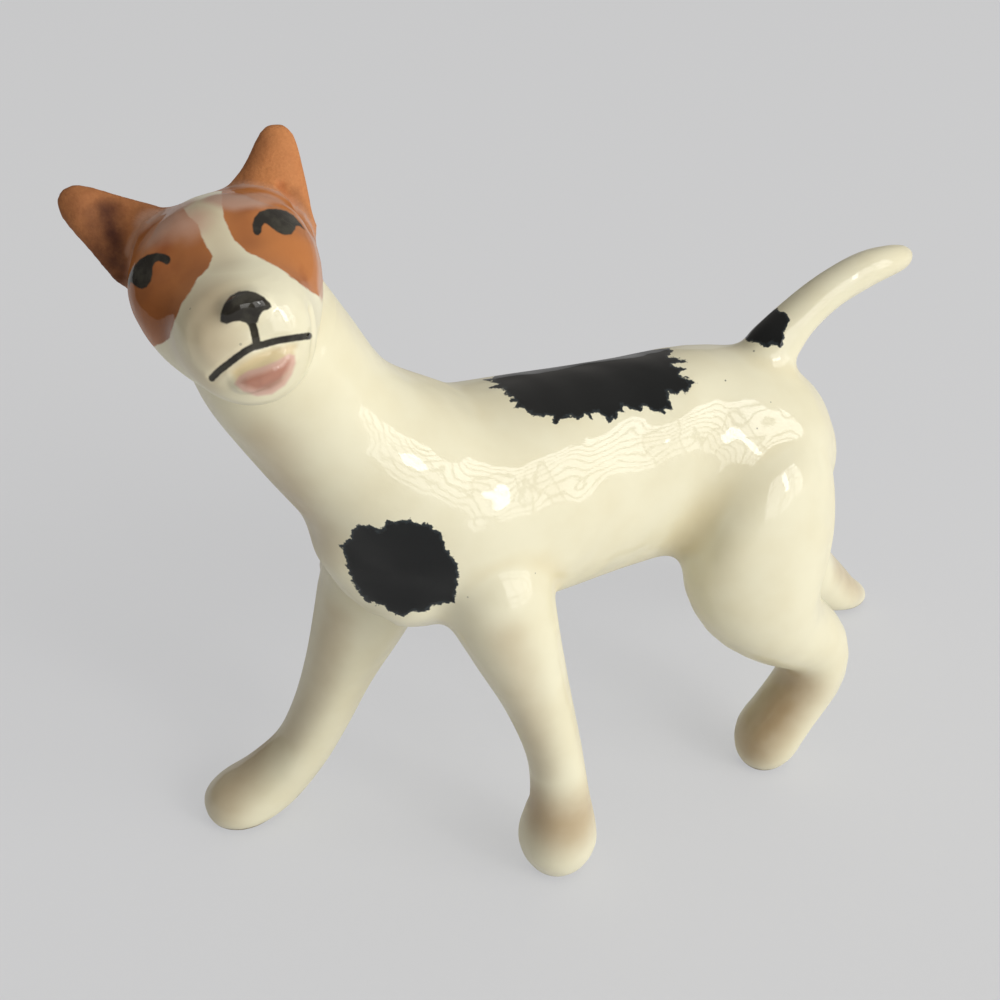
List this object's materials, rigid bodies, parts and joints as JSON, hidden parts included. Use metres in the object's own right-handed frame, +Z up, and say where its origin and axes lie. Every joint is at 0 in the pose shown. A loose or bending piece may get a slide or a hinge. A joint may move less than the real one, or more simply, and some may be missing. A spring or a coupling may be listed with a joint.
{
  "type": "dog figurine",
  "caption": "Hollow glazed earthenware figurine of a walking terrier, its head turned to the left, standing free on its paws, with a raised tail.",
  "frame": {"origin": "on the ground under the middle of the figure's outer box", "axes": "+X towards the tail, so the dog walks towards -X; -Y is the dog's left side; +Z up"},
  "size_m": [0.1301, 0.044, 0.1114],
  "materials": {
    "cream_glaze": "glossy cream-white glaze, painted with black patches and an orange-brown mask",
    "brown_glaze": "glossy orange-brown glaze",
    "black_glaze": "glossy black glaze",
    "pink_glaze": "glossy pinkish-brown glaze"
  },
  "bodies": {
    "root": {"body": "cream_glaze", "head": "cream_glaze", "nose": "black_glaze", "lower_lip": "pink_glaze", "ear_left": "brown_glaze", "ear_right": "brown_glaze", "foreleg_left": "cream_glaze", "foreleg_right": "cream_glaze", "hindleg_left": "cream_glaze", "hindleg_right": "cream_glaze", "tail": "cream_glaze"}
  },
  "joints": []
}
